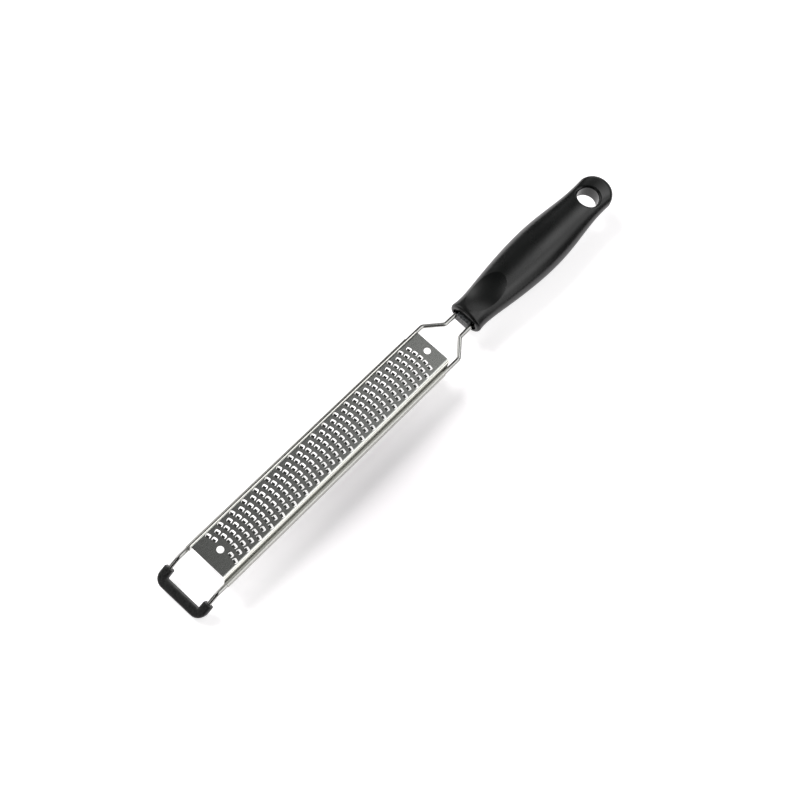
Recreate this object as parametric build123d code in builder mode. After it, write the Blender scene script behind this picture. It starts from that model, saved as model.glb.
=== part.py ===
"""Rasp zester: an etched steel blade hemmed round a bent wire, a rubber foot and a moulded handle.

Millimetres. X runs along the tool with the handle at +X, Z is up. The origin is on the surface
that the tool rests on, under the middle of its length. The foot and the handle's belly touch it.
"""

from build123d import *
import os
from math import acos, asin, cos, degrees, radians, sin, tan

os.makedirs("parts", exist_ok=True)

# Frame wire
wire_radius = 1.35
bend_radius = 3.4  # centre line of every bend
neck_straight = 8.5  # wire past the blade before it slants in
neck_slant = 10.6  # length of the slant along X
neck_half = 5.7  # half spacing after the slant
tang_taper = 1.4  # how much closer each hidden end comes to the centre line
tang_length = 62.0  # length hidden in the handle

# Blade
blade_length = 179.2
flat_width = 22.3
sheet = 0.4
shoulder_radius = 1.7
wall_height = 6.3  # straight wall between the shoulder and the middle of the wire
hem_turn = 316.0  # degrees that the hem goes round the wire
hem_start = 5.0  # bare wire beside the blade's handle end
hole_diameter = 4.1
upper_hole = 4.6  # from the blade's handle end
lower_hole = 9.7  # from the blade's foot end

# Teeth, in staggered rows that follow arcs
row_margin = 11.3  # from each end of the blade to the nearest row
row_pitch = 4.474
half_pitch = 1.925  # half of the spacing between two teeth of a row
row_radius = 34.3
tooth_width = 3.0
tooth_arm = 1.15
tooth_front = 1.25  # opening ahead of the cutting edge
tooth_side = 0.48  # opening beside the tongue
tooth_corner = 0.75
tooth_lead = 0.75  # cutting edge ahead of the tooth's place in its row
tooth_rise = 0.5
tooth_edge = 0.14  # thickness of the cutting edge

# Foot
foot_gap = 6.7  # straight wire between the blade's end and the bend
foot_run = 12.8  # plan length from the bend to the cross bar
foot_angle = 32.3
cap_wall = 1.4
cap_leg = 8.0  # length of each leg up from the cross bar
cap_round = 1.5
cap_lip = 0.5
toe_angle = 4.5  # rise of the foot's corners from the board

# Handle
neck_length = 29.65  # from the blade's end to the grip
grip_length = 130.8
grip_half_width = 15.1
grip_rise = 8.8  # top of the belly above the wire's plane
belly_flat = 0.4  # depth of the flat that the belly lies on
neck_round = 1.8
tail_share = 0.78  # tail's half width against the belly's
tail_round = 3.0
hang_radius = 6.85
hang_offset = 18.0  # from the hanging hole to the tail's tip
hang_round = 1.3
dish_offset = 17.8  # from the neck to the lowest point of the thumb dish
dish_shift = 4.6  # from the middle to the lowest point, so one edge is crisp and the other fades
dish_depth = 4.4  # lowest point below the top of the belly
dish_along = 41.0  # radius of its floor along the handle
dish_across = 40.0  # radius of its floor across the handle
recess_depth = 1.6
recess_margin = 0.6
core_side = 0.8  # core outside the wires
core_cover = 1.85  # core above and below the wires
core_end = 4.0  # core past the ends of the wires
nose_length = 2.3  # plug in front of the grip
nose_inset = 1.0  # plug's sides inside the wires' centre lines
nose_step = 0.5  # plug's top below the core's top
nose_round = 0.5

overrun = 2.0  # extra length of every cut

# Places worked out from the sizes
wire_y = flat_width / 2 + shoulder_radius + wire_radius
cap_half = wire_radius + cap_wall
lean = radians(foot_angle)
cap_reach = cap_half * (cos(lean) + sin(lean)) - cap_round * (cos(lean) + sin(lean) - 1)
bar_z = cap_half
pad_half = wire_y - bend_radius
wire_z = bar_z + foot_run * tan(lean)
wire_drop = shoulder_radius + wall_height
tang_half = neck_half - tang_taper
blade_top = wire_z + wire_drop
foot_reach = blade_length / 2 + foot_gap + foot_run + cap_reach
handle_reach = blade_length / 2 + neck_length + grip_length
blade_x = (foot_reach - handle_reach) / 2
blade_head = blade_x + blade_length / 2
blade_foot = blade_x - blade_length / 2
bend_x = blade_foot - foot_gap
bar_x = bend_x - foot_run
neck_x = blade_head + neck_length
tail_x = neck_x + grip_length
hang_x = tail_x - hang_offset
bead_radius = wire_radius + sheet
row_count = round((blade_length - 2 * row_margin) / row_pitch) + 1
widest_step = int((flat_width - tooth_width) / 2 / half_pitch)
core_half_width = neck_half + wire_radius + core_side
core_half_height = wire_radius + core_cover
nose_half_width = neck_half - nose_inset
nose_half_height = core_half_height - nose_step
tail_radius = tail_share * grip_half_width
tail_wall = tail_radius - hang_radius - hang_round
grip_drop = wire_z + belly_flat


def wire_route():
    """Corner points of the wire, from one hidden end round the foot to the other."""
    slant_x = blade_head + neck_straight
    half = [
        (neck_x + tang_length, tang_half, wire_z),
        (slant_x + neck_slant, neck_half, wire_z),
        (slant_x, wire_y, wire_z),
        (bend_x, wire_y, wire_z),
        (bar_x, wire_y, bar_z),
    ]
    return half + [(x, -y, z) for x, y, z in reversed(half)]


def tooth_places():
    """Place and turn of every tooth: staggered rows of five and six, each along an arc."""
    places = []
    for row in range(row_count):
        widest = widest_step - (row + widest_step) % 2
        steps = range(-widest, widest + 1, 2)
        row_x = blade_x + ((row_count - 1) / 2 - row) * row_pitch
        for step in steps:
            turn = asin(step * half_pitch / row_radius)
            x = row_x - row_radius * (1 - cos(turn))
            y = row_radius * sin(turn)
            if abs(x - blade_foot - lower_hole) > tooth_width or abs(y) > tooth_width:
                places.append(Location((x, y, blade_top), (0, 0, degrees(turn))))
    return places


# Frame wire, one piece of round wire
with BuildPart() as frame_wire:
    with BuildLine() as wire_line:
        FilletPolyline(*wire_route(), radius=bend_radius)
    with BuildSketch(Plane(origin=wire_line.wire() @ 0, z_dir=wire_line.wire() % 0)):
        Circle(wire_radius)
    sweep()
frame_wire.part.label = "frame_wire"
export_step(frame_wire.part, "parts/frame_wire.step")

# One tongue of the blade, its hinge towards the foot and its edge raised towards the handle
tongue_half = tooth_width / 2 - tooth_side
with BuildPart() as tongue:
    with BuildSketch(Plane.XZ.offset(-tongue_half)):
        with BuildLine():
            hinge = (tooth_lead - tooth_arm, 0)
            root = (hinge[0] - sheet, 0)
            edge = (tooth_lead, tooth_rise)
            lower_edge = (tooth_lead, tooth_rise - tooth_edge)
            Line(root, hinge)
            ThreePointArc(hinge, (tooth_lead - tooth_arm / 2, tooth_rise * 3 / 8), edge)
            Line(edge, lower_edge)
            Line(lower_edge, (hinge[0] + sheet, -sheet))
            Line((hinge[0] + sheet, -sheet), (root[0], -sheet))
            Line((root[0], -sheet), root)
        make_face()
    extrude(amount=2 * tongue_half)

# Blade, one sheet with rounded shoulders and a hem that wraps the wire
with BuildPart() as blade:
    with BuildSketch(Plane.YZ.offset(blade_foot)):
        with BuildLine():
            wall = flat_width / 2 + shoulder_radius
            bend_z = blade_top - shoulder_radius
            flat = flat_width / 2
            Line((0, blade_top), (flat, blade_top))
            CenterArc((flat, bend_z), shoulder_radius, 90, -90)
            Line((wall, bend_z), (wall, wire_z))
            inner = CenterArc((wire_y, wire_z), wire_radius, 180, hem_turn)
            outer = CenterArc((wire_y, wire_z), bead_radius, 180, hem_turn)
            Line(inner @ 1, outer @ 1)
            Line((wall - sheet, wire_z), (wall - sheet, bend_z))
            CenterArc((flat, bend_z), shoulder_radius - sheet, 0, 90)
            Line((flat, blade_top - sheet), (0, blade_top - sheet))
            mirror(about=Plane.YZ)
        make_face()
    extrude(amount=blade_length)
    # bare wire beside the handle end
    with BuildSketch(Plane.YZ.offset(blade_head - hem_start)):
        with Locations((wire_y + overrun, wire_z), (-wire_y - overrun, wire_z)):
            Rectangle(2 * (overrun + wire_radius), 2 * (bead_radius + overrun))
    extrude(amount=hem_start + overrun, mode=Mode.SUBTRACT)
    # openings of the teeth and the two round holes
    with BuildSketch(Plane.XY.offset(blade_top - sheet - overrun)):
        with Locations(*tooth_places()):
            with Locations((tooth_lead + (tooth_front - tooth_arm) / 2, 0)):
                RectangleRounded(tooth_arm + tooth_front, tooth_width, tooth_corner)
        with Locations((blade_head - upper_hole, 0), (blade_foot + lower_hole, 0)):
            Circle(hole_diameter / 2)
    extrude(amount=sheet + 2 * overrun, mode=Mode.SUBTRACT)
    with Locations(*tooth_places()):
        add(tongue.part)
blade.part.label = "blade"
export_step(blade.part, "parts/blade.step")

# Foot cap, a rubber sleeve round the cross bar and both corners, flat where it stands
with BuildPart() as foot_cap:
    leg_x = bar_x + cap_leg * cos(lean)
    leg_z = bar_z + cap_leg * sin(lean)
    with BuildLine() as cap_line:
        FilletPolyline(
            (leg_x, wire_y, leg_z),
            (bar_x, wire_y, bar_z),
            (bar_x, -wire_y, bar_z),
            (leg_x, -wire_y, leg_z),
            radius=bend_radius,
        )
    leg_end = Plane(origin=cap_line.wire() @ 0, x_dir=(0, 1, 0), z_dir=cap_line.wire() % 0)
    with BuildSketch(leg_end):
        RectangleRounded(2 * cap_half, 2 * cap_half, cap_round)
    sweep()
    fillet(foot_cap.faces().sort_by(Axis.X)[-2:].edges(), radius=cap_lip)
    # flat pad under the straight bar, with the corners just clear of the board
    side_y = wire_y + cap_half + overrun
    toe_z = (side_y - pad_half) * tan(radians(toe_angle))
    with BuildSketch(Plane.YZ.offset(bar_x - cap_reach - overrun)):
        with BuildLine():
            Polyline(
                (-side_y, -cap_reach),
                (side_y, -cap_reach),
                (side_y, toe_z),
                (pad_half, 0),
                (-pad_half, 0),
                (-side_y, toe_z),
                close=True,
            )
        make_face()
    extrude(amount=cap_leg + 2 * (cap_reach + overrun), mode=Mode.SUBTRACT)
    add(frame_wire.part, mode=Mode.SUBTRACT)
foot_cap.part.label = "foot_cap"
export_step(foot_cap.part, "parts/foot_cap.step")

# Handle core, which holds both wire ends and shows as a plug between them
with BuildPart() as handle_core:
    with BuildSketch(Plane.YZ.offset(neck_x + recess_depth)):
        with Locations((0, wire_z)):
            RectangleRounded(2 * core_half_width, 2 * core_half_height, nose_half_height)
    extrude(amount=tang_length - recess_depth + core_end)
    with BuildSketch(Plane.YZ.offset(neck_x - nose_length)):
        with Locations((0, wire_z)):
            RectangleRounded(2 * nose_half_width, 2 * nose_half_height, nose_round)
    extrude(amount=nose_length + recess_depth)
    add(frame_wire.part, mode=Mode.SUBTRACT)
handle_core.part.label = "handle_core"
export_step(handle_core.part, "parts/handle_core.step")

# Cross sections of the grip: place along it, half width, top, bottom and fullness, as shares
grip_shares = [
    (0.000, 0.750, 0.840, 0.640, 0.61),
    (0.120, 0.730, 0.860, 0.680, 0.60),
    (0.280, 0.890, 0.940, 0.870, 0.59),
    (0.460, 1.000, 1.000, 1.000, 0.58),
    (0.620, 0.965, 0.995, 0.930, 0.58),
    (0.760, 0.830, 0.960, 0.660, 0.62),
    (0.870, 0.765, 0.920, 0.390, 0.70),
    (1.000, 0.790, 0.780, 0.260, 0.74),
]


def grip_section(width_share, top_share, bottom_share, full_share):
    """Outline of the grip across its length, four rounded quarters."""
    half = width_share * grip_half_width
    top = wire_z + top_share * grip_rise
    bottom = wire_z - bottom_share * grip_drop
    middle = (top + bottom) / 2
    quarters = [(half, top), (-half, top), (-half, bottom), (half, bottom)]
    for index, (y, z) in enumerate(quarters):
        side = (y, middle)
        crown = (0, z)
        side_pull = (y, middle + full_share * (z - middle))
        crown_pull = (full_share * y, z)
        if index % 2 == 0:
            Bezier(side, side_pull, crown_pull, crown)
        else:
            Bezier(crown, crown_pull, side_pull, side)


# Grip, a full belly between a plain neck and a rounded tail
with BuildPart() as handle_grip:
    for along, width_share, top_share, bottom_share, full_share in grip_shares:
        with BuildSketch(Plane.YZ.offset(neck_x + along * grip_length)):
            with BuildLine():
                grip_section(width_share, top_share, bottom_share, full_share)
            make_face()
    loft()
    split(bisect_by=Plane.XY, keep=Keep.TOP)
    # rounded tail
    with BuildSketch(Plane.XY.offset(-overrun)):
        with Locations((tail_x, 0)):
            Rectangle(2 * tail_radius, 2 * grip_half_width)
        with Locations((tail_x - tail_radius, 0)):
            Circle(tail_radius, mode=Mode.SUBTRACT)
    extrude(amount=2 * blade_top, mode=Mode.SUBTRACT)
    fillet(handle_grip.faces().filter_by(GeomType.CYLINDER).edges(), radius=min(tail_round, tail_wall))
    # hanging hole
    with BuildSketch(Plane.XY.offset(-overrun)):
        with Locations((hang_x, 0)):
            Circle(hang_radius)
    extrude(amount=2 * blade_top, mode=Mode.SUBTRACT)
    hole_wall = handle_grip.faces().filter_by(GeomType.CYLINDER).sort_by(lambda face: face.radius)[0]
    fillet(hole_wall.edges().filter_by(GeomType.LINE, reverse=True), radius=hang_round)
    # neck rim
    fillet(handle_grip.faces().sort_by(Axis.X)[0].edges(), radius=neck_round)
    # thumb dish, cut by a long barrel
    barrel_z = wire_z + grip_rise - dish_depth + dish_across
    barrel_axis = Axis((neck_x + dish_offset, dish_shift, barrel_z), (1, 0, 0))
    dish_reach = degrees(acos(1 - (dish_depth + overrun) / dish_along))
    with BuildSketch(Plane.XZ.offset(-dish_shift)):
        with BuildLine():
            middle = (neck_x + dish_offset, wire_z + grip_rise - dish_depth + dish_along)
            low = CenterArc(middle, dish_along, -90 - dish_reach, 2 * dish_reach)
            Polyline(low @ 1, ((low @ 1).X, barrel_z), ((low @ 0).X, barrel_z), low @ 0)
        make_face()
    revolve(axis=barrel_axis, mode=Mode.SUBTRACT)
    # recess behind the neck rim, then the socket of the core and the wire
    with BuildSketch(Plane.YZ.offset(neck_x)):
        with Locations((0, wire_z)):
            recess_height = 2 * (core_half_height + recess_margin)
            SlotOverall(2 * (core_half_width + recess_margin), recess_height)
    extrude(amount=recess_depth, mode=Mode.SUBTRACT)
    add(handle_core.part, mode=Mode.SUBTRACT)
    add(frame_wire.part, mode=Mode.SUBTRACT)
handle_grip.part.label = "handle_grip"
export_step(handle_grip.part, "parts/handle_grip.step")
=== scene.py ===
# %% [markdown]
# # A rasp zester, dressed for a product photograph
# The tool has five pieces: an etched steel blade, the bent wire that frames it, a rubber foot, a
# stiff core and a moulded grip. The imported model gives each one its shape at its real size, so
# this lesson adds only the finishes, the floor, the light and the camera.

# %% Load the frame
import math

import bpy
import numpy as np
from mathutils import Matrix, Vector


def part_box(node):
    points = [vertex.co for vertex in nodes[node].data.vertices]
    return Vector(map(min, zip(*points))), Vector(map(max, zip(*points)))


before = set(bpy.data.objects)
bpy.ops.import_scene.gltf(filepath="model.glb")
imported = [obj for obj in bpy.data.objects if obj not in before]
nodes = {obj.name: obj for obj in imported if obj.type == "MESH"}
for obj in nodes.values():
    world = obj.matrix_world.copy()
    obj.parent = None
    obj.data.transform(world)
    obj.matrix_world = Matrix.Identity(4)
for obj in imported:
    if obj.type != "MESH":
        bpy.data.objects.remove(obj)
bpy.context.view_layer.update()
mm = 0.001
for name, node in sorted(nodes.items()):
    low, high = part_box(name)
    print(name, "size in mm", [round((b - a) / mm, 1) for a, b in zip(low, high)])

# %% [markdown]
# ## A finish is a small network of nodes
# Every material here starts from the same two ideas: a colour that varies a little, and a fine
# grain that breaks up the gloss. Writing a helper for each step keeps a material's own function
# down to the choices that matter for its piece.

# %% Helpers for nodes
white = (1.0, 1.0, 1.0)


def set_inputs(node, **values):
    """Set named inputs, with underscores standing for the spaces in their names."""
    for name, value in values.items():
        node.inputs[name.replace("_", " ")].default_value = value


def feed(tree, value, socket):
    """Link an output to a socket, or set the socket to a number or to a colour."""
    if isinstance(value, bpy.types.NodeSocket):
        tree.links.new(value, socket)
    elif isinstance(value, tuple):
        socket.default_value = (*value, 1.0)
    else:
        socket.default_value = value


def computed(tree, operation, first, second=None):
    """The result of a Math node, whose inputs are outputs of other nodes or numbers."""
    node = tree.nodes.new("ShaderNodeMath")
    node.operation = operation
    feed(tree, first, node.inputs[0])
    if second is not None:
        feed(tree, second, node.inputs[1])
    return node.outputs["Value"]


def split_place(tree):
    """The object coordinates of the shaded point, as X, Y and Z."""
    coordinates = tree.nodes.new("ShaderNodeTexCoord")
    split = tree.nodes.new("ShaderNodeSeparateXYZ")
    tree.links.new(coordinates.outputs["Object"], split.inputs["Vector"])
    return split.outputs["X"], split.outputs["Y"], split.outputs["Z"]


print("helpers ready, one millimetre is", mm, "m")

# %% [markdown]
# ## Between two values
# A mask runs from 0 to 1. Roughness and colour need it between two chosen ends, which is what a
# Map Range node and a Mix node do. A noise seldom reaches 0 or 1, so its useful span is narrower.

# %% Mask to value and to colour
noise_span = (0.3, 0.7)


def ranged(tree, mask, ends, span=noise_span):
    """Map a mask that runs over a span onto two ends."""
    node = tree.nodes.new("ShaderNodeMapRange")
    set_inputs(node, From_Min=span[0], From_Max=span[1], To_Min=ends[0], To_Max=ends[1])
    tree.links.new(mask, node.inputs["Value"])
    return node.outputs["Result"]


def stepped(tree, value, start, full, low=0.0, high=1.0):
    """A smooth step of a value, low at start and high at full."""
    result = ranged(tree, value, (low, high), (start, full))
    result.node.interpolation_type = "SMOOTHSTEP"
    return result


def mixed(tree, kind, mask, first, second):
    """Mix two numbers (kind FLOAT) or two colours (kind RGBA) by a mask."""
    node = tree.nodes.new("ShaderNodeMix")
    node.data_type = kind
    feed(tree, mask, node.inputs["Factor"])
    feed(tree, first, node.inputs["A"])
    feed(tree, second, node.inputs["B"])
    return node.outputs["Result"]


print("a noise is read between", *noise_span)

# %% [markdown]
# ## Grain, the effect that every piece shares
# Drawn wire, rolled sheet and moulded plastic all carry a fine texture. On metal it is stretched
# along the rolling direction, on plastic it is even. One node group can give both: noise on
# object coordinates, with X divided by the stretch.

# %% Grain group
fine_noise = {"Detail": 3.0, "Roughness": 0.55}
broad_noise = {"Detail": 2.0, "Roughness": 0.5}
grain_inputs = {"Fineness": 2000.0, "Stretch": 1.0, "Broad Scale": 60.0}
grain_outputs = ("Height", "Broad")


def build_grain_group():
    """Two noises on object coordinates, each in 0 to 1.

    Height is the fine one, stretched along X. Broad is a slow one, even in all directions.
    """
    group = bpy.data.node_groups.new("surface grain", "ShaderNodeTree")
    for name, default in grain_inputs.items():
        socket = group.interface.new_socket(name, in_out="INPUT", socket_type="NodeSocketFloat")
        socket.default_value = default
    for name in grain_outputs:
        group.interface.new_socket(name, in_out="OUTPUT", socket_type="NodeSocketFloat")
    source = group.nodes.new("NodeGroupInput")
    result = group.nodes.new("NodeGroupOutput")
    coordinates = group.nodes.new("ShaderNodeTexCoord")
    join = group.nodes.new("ShaderNodeCombineXYZ")
    fine = group.nodes.new("ShaderNodeTexNoise")
    broad = group.nodes.new("ShaderNodeTexNoise")
    set_inputs(fine, **fine_noise)
    set_inputs(broad, **broad_noise)
    x, y, z = split_place(group)
    link = group.links.new
    link(computed(group, "DIVIDE", x, source.outputs["Stretch"]), join.inputs["X"])
    link(y, join.inputs["Y"])
    link(z, join.inputs["Z"])
    link(join.outputs["Vector"], fine.inputs["Vector"])
    link(source.outputs["Fineness"], fine.inputs["Scale"])
    link(coordinates.outputs["Object"], broad.inputs["Vector"])
    link(source.outputs["Broad Scale"], broad.inputs["Scale"])
    link(fine.outputs["Fac"], result.inputs["Height"])
    link(broad.outputs["Fac"], result.inputs["Broad"])
    return group


grain_group = build_grain_group()
print("grain group inputs", list(grain_inputs), "outputs", list(grain_outputs))

# %% [markdown]
# ## A material with its grain in place
# Each finish opens the same way: a Principled shader, the grain group with sizes of its own, and
# a bump from the fine noise. The grain's two noises are then free to steer colour and roughness.

# %% Start of a finish
finishes = {}


def grained(name, sizes, bump_depth, bump_strength):
    """A new material, its tree and shader, and the grain's fine height and broad mask."""
    material = bpy.data.materials.new(name)
    material.use_nodes = True
    tree = material.node_tree
    shader = tree.nodes["Principled BSDF"]
    grain = tree.nodes.new("ShaderNodeGroup")
    grain.node_tree = grain_group
    set_inputs(grain, **sizes)
    bump = tree.nodes.new("ShaderNodeBump")
    set_inputs(bump, Strength=bump_strength, Distance=bump_depth)
    tree.links.new(grain.outputs["Height"], bump.inputs["Height"])
    tree.links.new(bump.outputs["Normal"], shader.inputs["Normal"])
    return material, tree, shader, grain.outputs["Height"], grain.outputs["Broad"]


def keep_finish(piece, material):
    """Note the material for its piece, and say how many nodes it took."""
    finishes[piece] = material
    print(piece, "finish", material.name, "nodes", len(material.node_tree.nodes))


print("grain group in use", grain_group.name)

# %% [markdown]
# ## Etched steel for the blade
# The sheet is photo-etched stainless steel. Its flat face is slightly uneven, with fine lines
# from rolling. The pressed shoulders have a slightly wider highlight, and their lighter colour
# is a painted highlight. The walls below them get a darker colour, a painted shade. One mask
# rises with the distance from the blade's middle line and another rises down the walls, and
# each paints its own colour over the flat's.

# %% Blade steel
blade_grain = {"Fineness": 2600.0, "Stretch": 7.0, "Broad_Scale": 70.0}
blade_bump = (0.02 * mm, 0.2)
flat_colours = ((0.505, 0.515, 0.495), (0.585, 0.595, 0.570))
flat_roughness = (0.16, 0.26)
shoulder_start = 11.5 * mm
shoulder_full = 12.4 * mm
# painted highlight: the shoulders' lighter colour
shoulder_painted_highlight = (0.93, 0.93, 0.86)
shoulder_roughness = (0.20, 0.28)
wall_top = 16.7 * mm
wall_low = 15.2 * mm
# painted shade: the walls' darker colour
wall_painted_shade = (0.48, 0.48, 0.455)


def blade_steel():
    """Metal whose colour and roughness change from the flat to the shoulders and the walls.

    The shoulders' lighter colour is a painted highlight, the walls' darker colour a painted shade.
    """
    material, tree, shader, height, broad = grained("blade_steel", blade_grain, *blade_bump)
    set_inputs(shader, Metallic=1.0)
    _, y, z = split_place(tree)
    shoulder = stepped(tree, computed(tree, "ABSOLUTE", y), shoulder_start, shoulder_full)
    wall = stepped(tree, z, wall_top, wall_low)
    colour = mixed(tree, "RGBA", broad, *flat_colours)
    # paint a highlight on the shoulders and shade down the walls
    colour = mixed(tree, "RGBA", shoulder, colour, shoulder_painted_highlight)
    colour = mixed(tree, "RGBA", wall, colour, wall_painted_shade)
    on_flat = ranged(tree, height, flat_roughness)
    on_shoulder = ranged(tree, height, shoulder_roughness)
    tree.links.new(colour, shader.inputs["Base Color"])
    tree.links.new(mixed(tree, "FLOAT", shoulder, on_flat, on_shoulder), shader.inputs["Roughness"])
    return material


keep_finish("blade", blade_steel())

# %% [markdown]
# ## Drawn wire
# The frame is stainless wire, drawn bright. It reflects sharply, with faint lines along its
# length where it slid through the die.

# %% Wire steel
wire_grain = {"Fineness": 3200.0, "Stretch": 14.0, "Broad_Scale": 90.0}
wire_bump = (0.01 * mm, 0.4)
wire_colours = ((0.42, 0.42, 0.405), (0.50, 0.50, 0.482))
wire_roughness = (0.10, 0.24)


def wire_steel():
    """Metal with a narrow highlight, broken by streaks along X."""
    material, tree, shader, height, broad = grained("wire_steel", wire_grain, *wire_bump)
    set_inputs(shader, Metallic=1.0)
    tree.links.new(mixed(tree, "RGBA", broad, *wire_colours), shader.inputs["Base Color"])
    tree.links.new(ranged(tree, height, wire_roughness), shader.inputs["Roughness"])
    return material


keep_finish("frame_wire", wire_steel())

# %% [markdown]
# ## Rubber for the foot
# The foot is a matt rubber with a pebbled skin. The pebbles come from the fine noise, read over a
# narrow span so that they stand apart, and the broad noise makes the gloss uneven. The pebbles'
# lighter colour and the gaps' darker one are painted light and shade that follow the bumps.

# %% Foot rubber
foot_grain = {"Fineness": 1100.0, "Stretch": 1.0, "Broad_Scale": 160.0}
foot_bump = (0.22 * mm, 0.8)
# painted shade: the darker colour goes in the gaps between the pebbles
foot_colours_and_painted_shade = ((0.001, 0.0011, 0.0011), (0.017, 0.0175, 0.0172))
foot_roughness = (0.42, 0.58)
pebble_span = (0.36, 0.64)


def foot_rubber():
    """Black rubber, its pebbles painted a little lighter than the gaps, as painted shade in the
    gaps.
    """
    material, tree, shader, height, broad = grained("foot_rubber", foot_grain, *foot_bump)
    # painted light and shade: lighter on the bumps' tops, darker in the gaps
    pebbles = ranged(tree, height, (0.0, 1.0), pebble_span)
    tree.links.new(mixed(tree, "RGBA", pebbles, *foot_colours_and_painted_shade), shader.inputs["Base Color"])
    tree.links.new(ranged(tree, broad, foot_roughness), shader.inputs["Roughness"])
    return material


keep_finish("foot_cap", foot_rubber())

# %% [markdown]
# ## Coarse plastic for the core
# Only the core's front plug shows. Its texture is the coarsest on the tool, and its high spots
# are glossier and also painted lighter, a painted glint, so they show as a speckle.

# %% Core plastic
core_grain = {"Fineness": 900.0, "Stretch": 1.0, "Broad_Scale": 300.0}
core_bump = (0.45 * mm, 0.9)
# painted glint: the lighter colour goes on the high spots
core_colours_and_painted_glint = ((0.006, 0.0065, 0.007), (0.080, 0.083, 0.086))
core_roughness = (0.50, 0.30)
speckle_span = (0.38, 0.62)


def core_plastic():
    """Black plastic, speckled by one noise in roughness and bump, and in colour as a painted glint.
    """
    material, tree, shader, height, _ = grained("core_plastic", core_grain, *core_bump)
    # painted glint on the high spots, painted shade in the low ones
    speckle = ranged(tree, height, (0.0, 1.0), speckle_span)
    tree.links.new(mixed(tree, "RGBA", speckle, *core_colours_and_painted_glint), shader.inputs["Base Color"])
    tree.links.new(ranged(tree, height, core_roughness), shader.inputs["Roughness"])
    return material


keep_finish("handle_core", core_plastic())

# %% [markdown]
# ## Satin plastic for the grip
# The grip has a very fine spark-eroded texture. It is so dark that what the eye reads is how wide
# its highlights are, and that is its roughness.

# %% Grip plastic
grip_grain = {"Fineness": 2400.0, "Stretch": 1.0, "Broad_Scale": 45.0}
grip_bump = (0.015 * mm, 0.5)
grip_colours = ((0.0018, 0.0021, 0.0020), (0.0032, 0.0036, 0.0034))
grip_roughness = (0.24, 0.31)


def grip_plastic():
    """Black satin plastic, with a broad and faint change of colour and gloss."""
    material, tree, shader, _, broad = grained("grip_plastic", grip_grain, *grip_bump)
    tree.links.new(mixed(tree, "RGBA", broad, *grip_colours), shader.inputs["Base Color"])
    tree.links.new(ranged(tree, broad, grip_roughness), shader.inputs["Roughness"])
    return material


keep_finish("handle_grip", grip_plastic())

# %% [markdown]
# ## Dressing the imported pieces
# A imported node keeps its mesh. Only the material in its slot changes.

# %% Assign the finishes
for name, material in finishes.items():
    slots = nodes[name].material_slots
    for slot in slots:
        slot.material = material
    print(name, "slots", len(slots), "triangles", len(nodes[name].data.polygons))

# %% [markdown]
# ## A pale floor that keeps the shadow
# The photograph has a white ground with a soft, faintly violet shadow. The floor's own colour
# stays a plain pale grey for the light that it throws back at the tool. The camera, the gloss and
# transmission see another shade with a lift added, so that open ground reaches white while a
# shadow still shows. The lift also changes with place, so it paints light and shadow on the
# ground. It is lowest beside the middle of the blade, which paints the shadow deepest there. It
# rises along X in both directions, which fades the shadow towards the ends. It is highest from
# under the blade on, towards the lamp, a painted light on ground that the blade shades.

# %% Floor
floor_size = 6.0
floor_shade = (0.80, 0.80, 0.80)
seen_shade = (0.665, 0.640, 0.655)
# the lift's rise along X paints the shadow deepest near its middle and fades it towards the ends
lift_low = 0.32
lift_high = 0.70
shadow_middle = -55.0 * mm
shadow_reach = 145.0 * mm
under_start = -17.0 * mm
under_full = -9.0 * mm
# painted light on the ground under the blade, where the blade's shade falls
under_blade_painted_light = 0.76


def painted_lift_level(tree):
    """The lift by X, low at the shadow's middle, with its own level from under the blade on.

    These paint the shadow deepest beside the blade's middle and paint light on the ground under it.
    """
    x, y, _ = split_place(tree)
    away = computed(tree, "ABSOLUTE", computed(tree, "SUBTRACT", x, shadow_middle))
    # painted shadow, deepest at its middle, fading along X
    rise = stepped(tree, away, 0.0, shadow_reach, lift_low, lift_high)
    # painted light from under the blade on
    under = stepped(tree, y, under_start, under_full)
    return mixed(tree, "FLOAT", under, rise, under_blade_painted_light)


def seen_rays(tree):
    """The largest of Is Camera Ray, Is Glossy Ray and Is Transmission Ray."""
    path = tree.nodes.new("ShaderNodeLightPath")
    largest = path.outputs["Is Camera Ray"]
    for name in ("Is Glossy Ray", "Is Transmission Ray"):
        largest = computed(tree, "MAXIMUM", largest, path.outputs[name])
    return largest


def floor_material():
    """Plain diffuse for bounced light, and a lifted diffuse for the rays that see the floor."""
    material = bpy.data.materials.new("pale_floor")
    material.use_nodes = True
    tree = material.node_tree
    tree.nodes.remove(tree.nodes["Principled BSDF"])
    plain = tree.nodes.new("ShaderNodeBsdfDiffuse")
    dim = tree.nodes.new("ShaderNodeBsdfDiffuse")
    lift = tree.nodes.new("ShaderNodeEmission")
    seen = tree.nodes.new("ShaderNodeAddShader")
    choose = tree.nodes.new("ShaderNodeMixShader")
    feed(tree, floor_shade, plain.inputs["Color"])
    feed(tree, seen_shade, dim.inputs["Color"])
    feed(tree, painted_lift_level(tree), lift.inputs["Strength"])
    feed(tree, dim.outputs["BSDF"], seen.inputs[0])
    feed(tree, lift.outputs["Emission"], seen.inputs[1])
    feed(tree, seen_rays(tree), choose.inputs["Fac"])
    feed(tree, plain.outputs["BSDF"], choose.inputs[1])
    feed(tree, seen.outputs["Shader"], choose.inputs[2])
    feed(tree, choose.outputs["Shader"], tree.nodes["Material Output"].inputs["Surface"])
    return material


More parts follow.
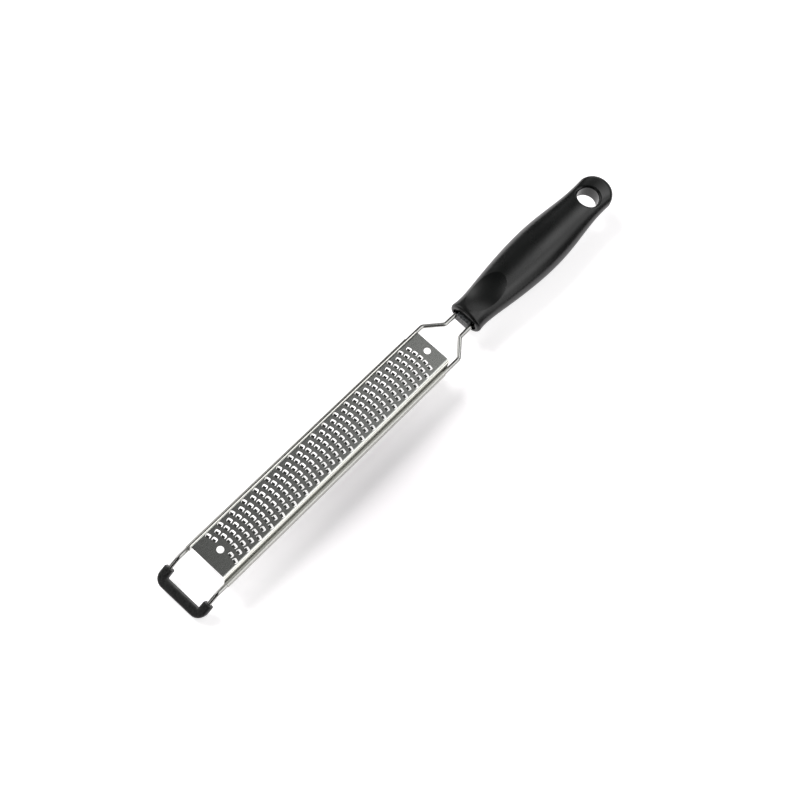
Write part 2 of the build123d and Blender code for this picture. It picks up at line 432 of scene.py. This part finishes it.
def make_floor():
    """A flat square on z = 0, its corners at plus and minus half its size."""
    half = floor_size / 2
    corners = [(-half, -half, 0), (half, -half, 0), (half, half, 0), (-half, half, 0)]
    mesh = bpy.data.meshes.new("floor")
    mesh.from_pydata(corners, [], [(0, 1, 2, 3)])
    mesh.materials.append(floor_material())
    floor = bpy.data.objects.new("floor", mesh)
    bpy.context.scene.collection.objects.link(floor)
    return floor


floor = make_floor()
print(floor.name, "side in m", floor_size, "corners", len(floor.data.vertices))

# %% [markdown]
# ## The room that the steel sees
# Polished steel shows its surroundings, so the surroundings are part of the finish. The room is
# dark, with soft white cards round it. Each card is a lobe: it is brightest along its own
# direction and fades out with the angle from it, because the dot product of two directions is
# the cosine of that angle. The room's light is the dark level plus the sum of the lobes.

# %% Room
room_dark = 0.040
# direction of the card's middle, cosine where it starts, cosine where it is full, and its level
room_cards = {
    "shoulder card": ((0.24, -0.62, 0.75), 0.925, 0.970, 1.25),
    "grip card": ((0.51, -0.25, 0.82), 0.870, 0.990, 1.05),
    "tail card": ((0.66, -0.05, 0.75), 0.965, 0.990, 1.6),
    "dish card": ((0.78, 0.47, 0.42), 0.940, 0.985, 0.9),
    "left card": ((-0.12, 0.85, 0.50), 0.868, 0.925, 1.3),
    "side card": ((0.20, -0.90, 0.38), 0.950, 0.985, 1.2),
    "foot card": ((-0.80, 0.20, 0.56), 0.965, 0.990, 0.8),
    "top card": ((0.33, 0.19, 0.92), 0.900, 0.970, 0.06),
}


def card_level(tree, direction, start, full, level):
    """Level times a smooth step of the dot product with the card's own direction."""
    unit = np.array(direction) / np.linalg.norm(direction)
    coordinates = tree.nodes.new("ShaderNodeTexCoord")
    dot = tree.nodes.new("ShaderNodeVectorMath")
    dot.operation = "DOT_PRODUCT"
    dot.inputs[1].default_value = unit.tolist()
    tree.links.new(coordinates.outputs["Generated"], dot.inputs[0])
    return stepped(tree, dot.outputs["Value"], start, full, high=level)


def build_room():
    """Background strength: the dark level plus every card's level. The camera sees white."""
    world = bpy.data.worlds.new("studio")
    bpy.context.scene.world = world
    world.use_nodes = True
    tree = world.node_tree
    total = room_dark
    for name, card in room_cards.items():
        total = computed(tree, "ADD", card_level(tree, *card), total)
        total.node.label = name
    room = tree.nodes["Background"]
    backdrop = tree.nodes.new("ShaderNodeBackground")
    choose = tree.nodes.new("ShaderNodeMixShader")
    path = tree.nodes.new("ShaderNodeLightPath")
    feed(tree, white, room.inputs["Color"])
    feed(tree, total, room.inputs["Strength"])
    feed(tree, white, backdrop.inputs["Color"])
    feed(tree, path.outputs["Is Camera Ray"], choose.inputs["Fac"])
    feed(tree, room.outputs["Background"], choose.inputs[1])
    feed(tree, backdrop.outputs["Background"], choose.inputs[2])
    feed(tree, choose.outputs["Shader"], tree.nodes["World Output"].inputs["Surface"])


build_room()
print("cards in the room", list(room_cards))

# %% [markdown]
# ## The lamp that throws the shadow
# The soft shadow falls to the lower right of the picture, so the light comes low from the tool's
# far side. A sun lamp lights the whole ground evenly, and its wide angle softens the shadow's
# edge with distance. It is left out of reflections, since the cards give those.

# %% Lamp
def add_sun(name, azimuth, elevation, strength, angle):
    """A sun lamp that shines from an azimuth, in degrees from +X towards +Y, and an elevation."""
    data = bpy.data.lights.new(name, "SUN")
    data.energy = strength
    data.angle = math.radians(angle)
    lamp = bpy.data.objects.new(name, data)
    lamp.rotation_euler = (0.0, math.radians(90.0 - elevation), math.radians(azimuth))
    lamp.visible_glossy = False
    bpy.context.scene.collection.objects.link(lamp)
    return lamp


sun = add_sun("far lamp", azimuth=88.0, elevation=37.0, strength=3.3, angle=24.0)
print("lamp", sun.name, "strength", sun.data.energy)

# %% [markdown]
# ## The camera
# The photograph looks down on the blade's face from the foot's side, rolled so that the tool
# runs up to the right. The camera's own axes come from where it stands, where it looks and the
# roll about that line.

# %% Camera
camera_place = np.array((-0.36004, -0.16860, 0.81922))
camera_aim = np.array((-0.01542, -0.00839, 0.01414))
camera_roll = 18.717
camera_lens = 72.0
camera_sensor = 36.0


def add_camera():
    """Back runs from aim to place and right is level, then right and up turn by the roll."""
    back = camera_place - camera_aim
    back /= np.linalg.norm(back)
    right = np.cross((0.0, 0.0, 1.0), back)
    right /= np.linalg.norm(right)
    up = np.cross(back, right)
    turn = math.radians(camera_roll)
    matrix = np.eye(4)
    matrix[:3, 0] = math.cos(turn) * right + math.sin(turn) * up
    matrix[:3, 1] = math.cos(turn) * up - math.sin(turn) * right
    matrix[:3, 2] = back
    matrix[:3, 3] = camera_place
    data = bpy.data.cameras.new("camera")
    data.lens = camera_lens
    data.sensor_width = camera_sensor
    camera = bpy.data.objects.new("camera", data)
    bpy.context.scene.collection.objects.link(camera)
    camera.matrix_world = Matrix(matrix.tolist())
    bpy.context.scene.camera = camera
    return camera


camera = add_camera()
print("camera matrix", [[round(value, 4) for value in row] for row in camera.matrix_world])

# %% [markdown]
# ## Finish
# The view transform is Standard, so a colour shows as it is written.

# %% Finish
bpy.context.scene.view_settings.view_transform = "Standard"
